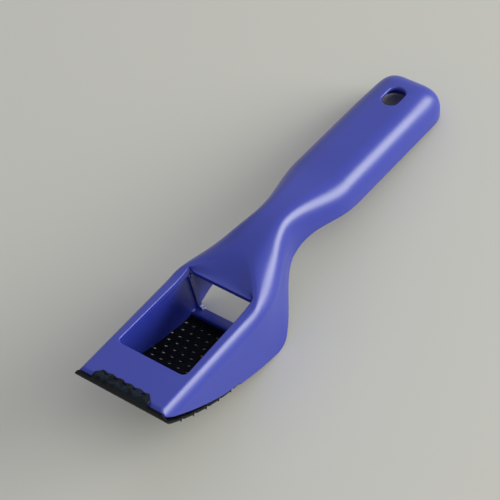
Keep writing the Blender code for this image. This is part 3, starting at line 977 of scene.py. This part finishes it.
    def folded(self, places: Array, lift: Array, outward: float) -> Array:
        """Lays one face of the blank on the folded middle line.

        A point lies at its length along the line, out by half the thickness and its lift, and across by its share
        of the half width. The free end of the tab is waved by the cosine of its place across, deeper in the middle,
        and drawn back at its corners. The sheet thins just before the hook to the thickness of the tab.

        Args:
            places: Length along and pitches across.
            lift: Raise of the teeth in metres.
            outward: 1 for the face with the teeth, -1 for the other.

        Returns:
            Points in the tool's frame.
        """
        along, across = places.T
        free_end = self.run[-1] - self.tab_wave
        free = np.clip((along - free_end + self.tab_tile) / self.tab_tile, 0.0, 1.0)
        notch = 1.0 + np.exp(-((across / self.tab_notch) ** 2))
        corner = ease(self.tab_corner_start, 1.0, np.abs(across) / (0.5 * self.tab_pitches)) ** 2
        along = along - free * (self.tab_wave * notch * np.cos(2.0 * math.pi * across) + self.tab_corner * corner)
        x, z = self.on_line(along).T
        way = unit(self.on_line(along + DIFFERENCE_STEP) - self.on_line(along - DIFFERENCE_STEP))
        to_tab = ease(self.hook_start - self.tab_thinning, self.hook_start, along)
        out = outward * 0.5 * between(self.thickness, self.tab_thickness, to_tab) + lift
        y = self.trimmed(across / (0.5 * self.pitches_across) * self.half_width(x), z)
        return np.stack([x - way[:, 1] * out, y, z + way[:, 0] * out], axis=1)

    def on_line(self, along: Array) -> Array:
        """(x, z) of the folded middle line at lengths along it."""
        return np.stack([np.interp(along, self.run, self.line[:, k]) for k in (0, 1)], axis=1)

    def trimmed(self, y: Array, z: Array) -> Array:
        """Draws the upper corners of the front face in to a quarter circle, and leaves the width of the tab as it is.

        Args:
            y: Places across.
            z: Heights.

        Returns:
            The places drawn in.
        """
        tab_half = 0.5 * self.front_width * self.tab_pitches / self.pitches_across
        climb = np.clip(1.0 + z / self.face_corner, 0.0, 1.0)
        drawn_in = self.face_corner * (1.0 - np.sqrt(1.0 - climb**2))
        beside = np.clip((np.abs(y) - tab_half) / (0.5 * self.front_width - tab_half), 0.0, 1.0)
        return y - np.sign(y) * beside * drawn_in

    def build(self, frame: ToolFrame) -> bpy.types.Object:
        """Both faces of the folded blank and a narrow wall along every free edge.

        Args:
            frame: Where the tool lies.

        Returns:
            The dressed blade.
        """
        places, lift, quads = self.blank()
        outer = self.folded(places, lift * self.tooth_height, 1.0)
        inner = self.folded(places, np.zeros(len(lift)), -1.0)
        edges = sides_of(quads)
        _, index, times = np.unique(np.sort(edges, axis=1), axis=0, return_index=True, return_counts=True)
        free = edges[index[times == 1]]
        walls = np.stack([free[:, 1], free[:, 0], free[:, 0] + len(places), free[:, 1] + len(places)], axis=1)
        faces = np.concatenate([quads, quads[:, ::-1] + len(places), walls])
        piece = new_piece("rasp_blade", frame.lay(np.concatenate([outer, inner])), faces)
        add_attribute(piece, "tooth", np.concatenate([lift, np.zeros(len(lift))]))
        on_tab = ease(self.hook_start, self.hook_start + self.tab_shading, places[:, 0])
        add_attribute(piece, "tab", np.tile(on_tab, 2))
        piece.data.materials.append(self.finish.make())
        return piece


@dataclass
class MouldedBody:
    """Head, neck and handle in one moulding, open below, with its chip window, scoop, cross bar and hang slot."""

    blade: RaspBlade
    length: float = 199.9 * MM
    wall: float = 1.8 * MM
    side_wall: float = 1.3 * MM
    clearance: float = 0.3 * MM
    head_width: float = 40.4 * MM
    head_foot_width: float = 40.6 * MM
    head_corner: float = 3.2 * MM
    head_corner_high: float = 5.4 * MM
    flare_power: float = 1.35
    top_flare_power: float = 1.64
    nose_chamfer: float = 0.9 * MM
    bridge_length: float = 17.4 * MM
    bridge_thickness: float = 3.0 * MM
    window_rear: float = 60.4 * MM
    window_width: float = 30.0 * MM
    window_rear_width: float = 28.8 * MM
    window_corner: float = 2.2 * MM
    hall_foot_width: float = 34.5 * MM
    nose_depth: float = 2.5 * MM
    heel_x: float = 71.4 * MM
    heel_depth: float = 32.6 * MM
    heel_round: float = 4.0 * MM
    belly_sag: float = 6.0 * MM
    bar_front: float = 62.6 * MM
    bar_rear: float = 68.0 * MM
    bar_top_front: float = 27.2 * MM
    bar_top_rear: float = 28.4 * MM
    step_slant: float = 7.0 * MM
    rib_half_width: float = 1.0 * MM
    rib_height: float = 1.0 * MM
    gusset_half: float = 13.9 * MM
    gusset_front: float = 66.2 * MM
    gusset_height: float = 2.2 * MM
    gusset_lean: float = 0.93
    shoulder_x: float = 50.4 * MM
    crest_x: float = 92.8 * MM
    waist_x: float = 96.0 * MM
    neck_x: float = 108.0 * MM
    handle_x: float = 128.0 * MM
    grip_level_x: float = 134.4 * MM
    waist_width: float = 18.0 * MM
    crest_height: float = 9.8 * MM
    neck_underside: float = 6.0 * MM
    scoop_end_x: float = 76.5 * MM
    scoop_half: float = 14.2 * MM
    scoop_edge_drop: float = 0.6 * MM
    scoop_bulge: float = 11.0 * MM
    scoop_edge_flatness: float = 34.0
    scoop_flatness: float = 3.4
    scoop_end_flatness: float = 2.0
    scoop_edge_fade: float = 22.0
    scoop_lead: Pair = (6.0 * MM, 3.0 * MM)
    scoop_fall: int = 3
    scoop_narrowing: float = 0.8
    scoop_tip: float = 0.02
    scoop_dish: float = 2.0
    handle_width: float = 29.0 * MM
    handle_arch: float = 12.5 * MM
    arch_share: float = 0.78
    arch_start_x: float = 56.0 * MM
    arch_full_x: float = 80.0 * MM
    power_start_x: float = 59.0 * MM
    power_full_x: float = 98.0 * MM
    handle_top_front: float = 6.5 * MM
    handle_top_rear: float = 4.2 * MM
    handle_rim_front: float = 8.4 * MM
    handle_rim_rear: float = 11.4 * MM
    head_power: float = 1.55
    arch_power: float = 2.5
    end_arch_power: float = 2.2
    end_round: float = 13.5 * MM
    end_power: float = 3.0
    end_blend_rounds: float = 2.2
    end_blend_stop: float = 6.0 * MM
    core_level: float = 0.2
    core_depth: float = 0.8
    least_growth: float = 0.5
    slot_x: float = 180.0 * MM
    slot_length: float = 12.2 * MM
    slot_width: float = 7.3 * MM
    edge_radius: float = 0.5 * MM
    inner_edge_radius: float = 0.3 * MM
    slot_edge_radius: float = 0.6 * MM
    crisp_radius: float = 0.12 * MM
    crisp_lead: float = 2.0 * MM
    fillet: float = 0.9 * MM
    bar_fillet: float = 0.45 * MM
    rib_fillet: float = 0.27 * MM
    edge_probe: float = 0.3 * MM
    edge_bend: Pair = (0.35 / MM, 1.6 / MM)
    mesher: ShellMesher = field(default_factory=ShellMesher)
    finish: SatinPlastic = field(default_factory=SatinPlastic)

    def half_width(self, x: Array) -> Array:
        """Half width of the top in plan: wide head, waist, handle.

        Args:
            x: Places along the tool.

        Returns:
            Half width at each place.
        """
        to_waist = ease(self.shoulder_x, self.waist_x, x) ** self.top_flare_power
        front = between(self.head_width, self.waist_width, to_waist)
        return 0.5 * (front + (self.handle_width - self.waist_width) * ease(self.waist_x, self.handle_x, x))

    def foot_half_width(self, x: Array) -> Array:
        """Half width at the depth of the heel, which follows the top behind the waist.

        Args:
            x: Places along the tool.

        Returns:
            Half width at each place.
        """
        to_waist = ease(self.heel_x, self.waist_x, x) ** self.flare_power
        flare = 0.5 * between(self.head_foot_width, self.waist_width, to_waist)
        return np.where(x < self.waist_x, flare, self.half_width(x))

    def crest(self, x: Array) -> Array:
        """Height of the top along the tool: level head, climb to the neck, slow fall along the handle.

        Args:
            x: Places along the tool.

        Returns:
            Height at each place.
        """
        climb = self.crest_height * ease(self.shoulder_x, self.crest_x, x)
        fall = (self.crest_height - self.handle_top_front) * ease(self.crest_x, self.handle_x, x)
        slope = (self.handle_top_front - self.handle_top_rear) / (self.length - self.handle_x)
        return climb - fall - slope * np.clip(x - self.handle_x, 0.0, None)

    def scoop(self, x: Array, y: Array) -> Array:
        """Depth of the scoop, which is a triangle in plan with its tip at the neck.

        With u the share of the way to the tip, the half width falls as 1 - u to the power of the narrowing. The depth
        along the middle is the cube of 1 - u, times the sum of the depth at the edge and a bulge that grows with u.
        Across, it falls as 1 less the share of the half width to the power of a flatness that is high at the edge, and
        that is raised to a power which grows towards the tip. The depth comes in over a short lead before the edge.

        Args:
            x: Places along the tool.
            y: Places across.

        Returns:
            How far the top lies below its rims.
        """
        share = np.clip((x - self.window_rear) / (self.scoop_end_x - self.window_rear), 0.0, 1.0)
        at_edge = self.crest(np.array(self.window_rear)) + self.scoop_edge_drop
        depth = (1.0 - share) ** self.scoop_fall * (at_edge + self.scoop_bulge * share)
        depth = depth * ease(*(self.window_rear - lead for lead in self.scoop_lead), x)
        reach = self.scoop_half * np.maximum(1.0 - share, self.scoop_tip) ** self.scoop_narrowing
        flatness = between(self.scoop_flatness, self.scoop_end_flatness, share)
        flatness = flatness + self.scoop_edge_flatness * np.exp(-self.scoop_edge_fade * share)
        across = 1.0 - np.clip(np.abs(y) / reach, 0.0, 1.0) ** flatness
        return depth * across ** (1.0 + self.scoop_dish * share)

    def outside(self, x: Array, y: Array, z: Array) -> tuple[Array, Array]:
        """Distance to the top, sides and round end, as if the body went down without end.

        The cross section is a superellipse corner between the flat top and the sides: a is the share across the
        corner, b the share up it, and the surface lies where the powers of a and b add up to 1. The power changes
        along the tool, from the head to the arch of the handle and to its end. On the end of the handle the share
        along the end adds to a in the same way. The sides lean by shifting y with depth, and the scoop sinks the top
        by shifting z. The distance is the level less 1, over how fast the level grows. Deep inside it is one value.

        Args:
            x: Places along the tool.
            y: Places across.
            z: Heights.

        Returns:
            Distance, negative inside, and how much the nearest surface is roof and not side.
        """
        half = self.half_width(x)
        to_arch = ease(self.arch_start_x, self.arch_full_x, x)
        corner_wide = between(self.head_corner, self.arch_share * half, to_arch)
        corner_high = between(self.head_corner_high, self.handle_arch, to_arch)
        shoulder = self.crest(x) - corner_high
        depth = np.clip((shoulder - z) / (shoulder + self.heel_depth), 0.0, None)
        lean = (self.foot_half_width(x) - half) * depth
        a = np.maximum((np.abs(y) - lean - half + corner_wide) / corner_wide, 0.0)
        b = np.maximum((z + self.scoop(x, y) - shoulder) / corner_high, 0.0)
        e = np.maximum((x - self.length + self.end_round) / self.end_round, 0.0) + 0.0 * b
        plan = (a**self.end_power + e**self.end_power) ** (1.0 / self.end_power) + TINY
        power = between(self.head_power, self.arch_power, ease(self.power_start_x, self.power_full_x, x))
        blend_start = self.length - self.end_blend_rounds * self.end_round
        power = between(power, self.end_arch_power, ease(blend_start, self.length - self.end_blend_stop, x))
        level = (plan**power + b**power) ** (1.0 / power) + TINY
        by_plan = (plan / level) ** (power - 1.0)
        by_height = (b / level) ** (power - 1.0)
        grow_y = by_plan * (a / plan) ** (self.end_power - 1.0) / corner_wide
        grow_x = by_plan * (e / plan) ** (self.end_power - 1.0) / self.end_round
        grow_z = by_height / corner_high
        steep = np.maximum(np.sqrt(grow_x**2 + grow_y**2 + grow_z**2) + TINY, self.least_growth / corner_wide)
        distance = np.where(level < self.core_level, -self.core_depth * corner_high, (level - 1.0) / steep)
        return distance, by_height

    def hollow(self, x: Array, z: Array, outside: Array, roof: Array) -> Array:
        """Hollow of neck and handle: the outside moved in by the wall of roof or side, behind a slanted step."""
        return overlap(outside + between(self.side_wall, self.wall, roof), self.step_x(z) - x)

    def step_x(self, z: Array) -> Array:
        """Where the slanted step behind the window lies at a height: upright beside the edge, then slanted."""
        share = (-z - self.bridge_thickness) / (self.bar_top_front - self.bridge_thickness)
        return self.window_rear - self.clearance + self.step_slant * np.maximum(share, 0.0)

    def hall_half(self, z: Array) -> Array:
        """Half width of the hollow under the window at a height, wider further down."""
        share = (-z - self.bridge_thickness) / (self.heel_depth - self.bridge_thickness)
        return 0.5 * between(self.window_width, self.hall_foot_width, np.clip(share, 0.0, 1.0))

    def hall(self, x: Array, y: Array, z: Array) -> Array:
        """Hollow of the head under bridge and window, with drafted sides."""
        within = overlap(self.wall - x, x - self.step_x(z) - 2.0 * self.clearance, z + self.bridge_thickness)
        return round_overlap(np.abs(y) - self.hall_half(z), within, self.fillet)

    def wall_rib(self, x: Array, y: Array, z: Array) -> Array:
        """Low rib that runs down each side wall along the slanted step, from the edge to the bar.

        Args:
            x: Places along the tool.
            y: Places across.
            z: Heights.

        Returns:
            Distance to the rib.
        """
        band = np.abs(x - self.step_x(z)) - self.rib_half_width
        inner = self.hall_half(z) - self.rib_height - np.abs(y)
        return overlap(band, inner, z + self.bridge_thickness)

    def belly(self, x: Array) -> Array:
        """Lower rim under the head: a chord with a parabola's sag, carried on straight behind the heel.

        Args:
            x: Places along the tool.

        Returns:
            Height of the rim.
        """
        share = x / self.heel_x
        sag = 4.0 * self.belly_sag * np.where(share < 1.0, share * (1.0 - share), 1.0 - share)
        return -self.nose_depth - (self.heel_depth - self.nose_depth) * share - sag

    def rear_rim(self, x: Array) -> Array:
        """Lower rim behind the heel: a parabola up to the neck, then the underside of the handle.

        Args:
            x: Places along the tool.

        Returns:
            Height of the rim.
        """
        lift = ((self.neck_x - x) / (self.neck_x - self.heel_x)) ** 2
        climb = -self.neck_underside - (self.heel_depth - self.neck_underside) * lift
        drop = between(self.neck_underside, self.handle_rim_front, ease(self.neck_x, self.grip_level_x, x))
        slope = (self.handle_rim_rear - self.handle_rim_front) / (self.length - self.handle_x)
        return np.where(x < self.neck_x, climb, -drop - slope * np.clip(x - self.handle_x, 0.0, None))

    def side_view(self, x: Array, z: Array) -> Array:
        """Distance to what lies above the lower rim, with the heel rounded."""
        front, rear = ((rim(x) - z) / np.hypot(1.0, slope_of(rim, x)) for rim in (self.belly, self.rear_rim))
        return round_overlap(front, rear, self.heel_round)

    def window(self, x: Array, y: Array, z: Array) -> Array:
        """Chip window: straight sides that draw together a little, round front corners, straight rear edge.

        Args:
            x: Places along the tool.
            y: Places across.
            z: Heights.

        Returns:
            Distance to the window.
        """
        share = (x - self.bridge_length) / (self.window_rear - self.bridge_length)
        side = np.abs(y) - 0.5 * between(self.window_width, self.window_rear_width, share)
        front = round_overlap(side, self.bridge_length - x, self.window_corner)
        return overlap(front, x - self.window_rear, -self.bridge_thickness - self.wall - z)

    def hang_slot(self, x: Array, y: Array, z: Array) -> Array:
        """Slot with round ends through the top of the handle."""
        past = np.maximum(np.abs(x - self.slot_x) - 0.5 * (self.slot_length - self.slot_width), 0.0)
        return overlap(np.hypot(past, y) - 0.5 * self.slot_width, -self.handle_rim_front - z)

    def cross_bar(self, x: Array, y: Array, z: Array) -> Array:
        """Bar across the heel with a slanted top, and a small gusset at each of its rear corners.

        Args:
            x: Places along the tool.
            y: Places across.
            z: Heights.

        Returns:
            Distance to bar and gussets.
        """
        share = (x - self.bar_front) / (self.bar_rear - self.bar_front)
        top = z + between(self.bar_top_front, self.bar_top_rear, share)
        bar = round_overlap(top, overlap(self.bar_front - x, x - self.bar_rear), self.edge_radius)
        climb = z + self.bar_top_rear
        slant = (self.gusset_half + self.gusset_lean * climb - np.abs(y)) / math.hypot(1.0, self.gusset_lean)
        gusset = overlap(slant, self.gusset_front - x, x - self.bar_rear, climb - self.gusset_height)
        return np.minimum(bar, gusset)

    def blade_room(self, x: Array, y: Array, z: Array) -> Array:
        """Room for the blade: under its upper face and round its tongue.

        Args:
            x: Places along the tool.
            y: Places across.
            z: Heights.

        Returns:
            Distance to the room.
        """
        blade, gap = self.blade, self.clearance
        half_sheet = 0.5 * blade.thickness + gap
        under = blade.radius - half_sheet - np.hypot(x - blade.centre[0], z - blade.centre[1])
        side = np.abs(y) - blade.half_width(x) - gap
        seat = overlap(under, side, x - blade.rear_x - gap)
        tongue_half = 0.5 * blade.rear_width * blade.tongue_pitches / blade.pitches_across + gap
        tongue = overlap(np.abs(y) - tongue_half, np.abs(z - blade.rear_z) - half_sheet, self.bar_front - x)
        return np.minimum(seat, overlap(tongue, x - blade.rear_x - blade.tongue_length - gap))

    def distance(self, x: Array, y: Array, z: Array) -> Array:
        """Distance to the whole moulding: outside, less its hollows, with the bar, cut by rim, window and slot.

        Args:
            x: Places along the tool.
            y: Places across.
            z: Heights.

        Returns:
            Distance, negative inside the plastic.
        """
        outside, roof = self.outside(x, y, z)
        nose = overlap(-x, (z - x + self.nose_chamfer) * math.sqrt(0.5))
        core = round_overlap(outside, nose, self.edge_radius)
        cavity = np.minimum(self.hollow(x, z, outside, roof), self.hall(x, y, z))
        shell = round_overlap(core, -cavity, self.inner_edge_radius)
        within = core + 0.5 * self.side_wall
        shell = round_union(shell, overlap(within, self.cross_bar(x, y, z)), self.bar_fillet)
        shell = round_union(shell, overlap(within, self.wall_rib(x, y, z)), self.rib_fillet)
        shell = round_overlap(shell, self.side_view(x, z), self.edge_radius)
        crisp = ease(self.window_rear - self.crisp_lead, self.window_rear - self.edge_radius, x)
        shell = round_overlap(shell, -self.window(x, y, z), between(self.edge_radius, self.crisp_radius, crisp))
        shell = round_overlap(shell, -self.hang_slot(x, y, z), self.slot_edge_radius)
        return overlap(shell, -self.blade_room(x, y, z))

    def build(self, frame: ToolFrame) -> bpy.types.Object:
        """Draws the moulding's surface, evens it, and stores how sharply its edges bend.

        Window, scoop, bar, hollow and slot run into each other with fillets, which no single two-parameter patch
        can follow, so the shell is the zero level of a distance worked out over whole arrays.

        Args:
            frame: Where the tool lies.

        Returns:
            The dressed body.
        """
        low = np.array([0.0, -0.5 * self.head_foot_width, -self.heel_depth])
        high = np.array([self.length, 0.5 * self.head_foot_width, self.crest_height])
        points, quads = self.mesher.draw(self.distance, low, high)
        points = self.mesher.refine(self.distance, points, quads)
        _, _, bend = self.mesher.probes(self.distance, points, self.edge_probe)
        normals = self.mesher.corner_normals(self.distance, points, quads)
        piece = new_piece("moulded_body", frame.lay(points), quads, frame.lay(normals, True))
        add_attribute(piece, "edge", ease(*self.edge_bend, bend))
        piece.data.materials.append(self.finish.make())
        return piece


@dataclass(frozen=True)
class SoftLamp:
    """One soft light: its name, its power in watts, the width and height of its face, and where it hangs."""

    name: str
    power: float
    size: Pair
    place: Triple


@dataclass
class Studio:
    """Floor, soft lights and the camera at the photograph's angle."""

    focal_pixels: float = 1800.0
    camera_azimuth: float = math.radians(-54.976)
    camera_elevation: float = math.radians(43.289)
    camera_distance: float = 670.724 * MM
    target: Triple = (78.715 * MM, 0.0, 6.149 * MM)
    photo_tilt: float = math.radians(2.816)
    clip_start: float = 0.01
    floor_half: float = 3.0
    world_strength: float = 0.40
    world_colour: Colour = (0.97, 0.98, 1.0)
    lamp_colour: Colour = (1.0, 1.0, 0.87)
    lamps: tuple[SoftLamp, ...] = (
        SoftLamp("key_light", power=63.0, size=(1.9, 1.32), place=(1.46, -1.80, 0.60)),
        SoftLamp("fill_light", power=2.0, size=(0.7, 0.7), place=(-0.1, -0.62, 1.0)),
        SoftLamp("back_light", power=5.0, size=(3.0, 2.6), place=(1.6, 0.7, 1.5)),
    )
    finish: PaleFloor = field(default_factory=PaleFloor)

    def add_floor(self, level: float) -> bpy.types.Object:
        """Lays a wide flat floor.

        Args:
            level: Height of the floor.

        Returns:
            The floor.
        """
        reach = self.floor_half
        around = ((-reach, -reach), (reach, -reach), (reach, reach), (-reach, reach))
        points = np.array([(x, y, level) for x, y in around])
        floor = new_piece("floor", points, np.array([[0, 1, 2, 3]]))
        floor.data.materials.append(self.finish.make())
        return floor

    def add_light(self, lamp: SoftLamp, aim: Vector) -> bpy.types.Object:
        """Hangs one soft light that faces the tool.

        Args:
            lamp: The light's sizes and place.
            aim: Point that it faces.

        Returns:
            The light.
        """
        source = bpy.data.lights.new(lamp.name, "AREA")
        source.energy = lamp.power
        source.color = self.lamp_colour
        source.shape = "RECTANGLE"
        source.size, source.size_y = lamp.size
        light = bpy.data.objects.new(lamp.name, source)
        light.location = lamp.place
        light.rotation_euler = (aim - Vector(lamp.place)).to_track_quat("-Z", "Y").to_euler()
        bpy.context.scene.collection.objects.link(light)
        return light

    def add_world(self) -> None:
        """Even light from all round."""
        world = bpy.data.worlds.new("studio_world")
        world.use_nodes = True
        background = world.node_tree.nodes["Background"]
        background.inputs["Color"].default_value = solid_colour(self.world_colour)
        background.inputs["Strength"].default_value = self.world_strength
        bpy.context.scene.world = world

    def add_camera(self, frame: ToolFrame) -> bpy.types.Object:
        """Camera of the photograph, which was fitted with the tool tipped by photo_tilt, turned to how it lies here.

        Args:
            frame: Where the tool lies.

        Returns:
            The camera.
        """
        a, e = self.camera_azimuth, self.camera_elevation
        back = Vector((math.sin(a) * math.cos(e), -math.cos(a) * math.cos(e), math.sin(e)))
        turn = back.to_track_quat("Z", "Y").to_matrix().to_4x4()
        fitted = Matrix.Translation(Vector(self.target) + self.camera_distance * back) @ turn
        to_tool = Matrix.Rotation(self.photo_tilt, 4, "Y")
        lens = bpy.data.cameras.new("camera")
        lens.sensor_width = SENSOR_WIDTH
        lens.lens = self.focal_pixels / IMAGE_SIDE * SENSOR_WIDTH
        lens.clip_start = self.clip_start
        camera = bpy.data.objects.new("camera", lens)
        camera.matrix_world = frame.matrix() @ to_tool @ fitted
        bpy.context.scene.collection.objects.link(camera)
        bpy.context.scene.camera = camera
        return camera

    def build(self, frame: ToolFrame, middle: Vector) -> None:
        """Sets up floor, lights, world and camera.

        Args:
            frame: Where the tool lies.
            middle: Middle of the tool.
        """
        self.add_floor(0.0)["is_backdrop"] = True
        for lamp in self.lamps:
            self.add_light(lamp, middle)
        self.add_world()
        self.add_camera(frame)
        bpy.context.scene.view_settings.view_transform = "Standard"


@dataclass
class RaspPlane:
    """The whole tool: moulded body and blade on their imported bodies."""

    mount_behind_nose: float = 10.85 * MM

    def build(self, record: dict[str, Any]) -> ToolFrame:
        """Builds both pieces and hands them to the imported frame.

        Args:
            record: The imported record.

        Returns:
            Where the tool lies.
        """
        frame = ToolFrame.from_record(record, self.mount_behind_nose)
        blade = RaspBlade()
        pieces = (
            (MouldedBody(blade).build(frame), "body", Slot.PLASTIC),
            (blade.build(frame), "blade", Slot.STEEL),
        )
        for piece, node, slot in pieces:
            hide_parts(node)
            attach(piece, node)
            LOG.info("%s: %d faces", piece.name, len(piece.data.polygons))
        return frame


def main() -> None:
    """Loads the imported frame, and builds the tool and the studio."""
    logging.basicConfig(level=logging.INFO, format="%(name)s: %(message)s")
    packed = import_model()
    cad_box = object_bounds()
    frame = RaspPlane().build(packed["record"])
    Studio().build(frame, 0.5 * (Vector(cad_box[0]) + Vector(cad_box[1])))


if __name__ == "__main__":
    main()
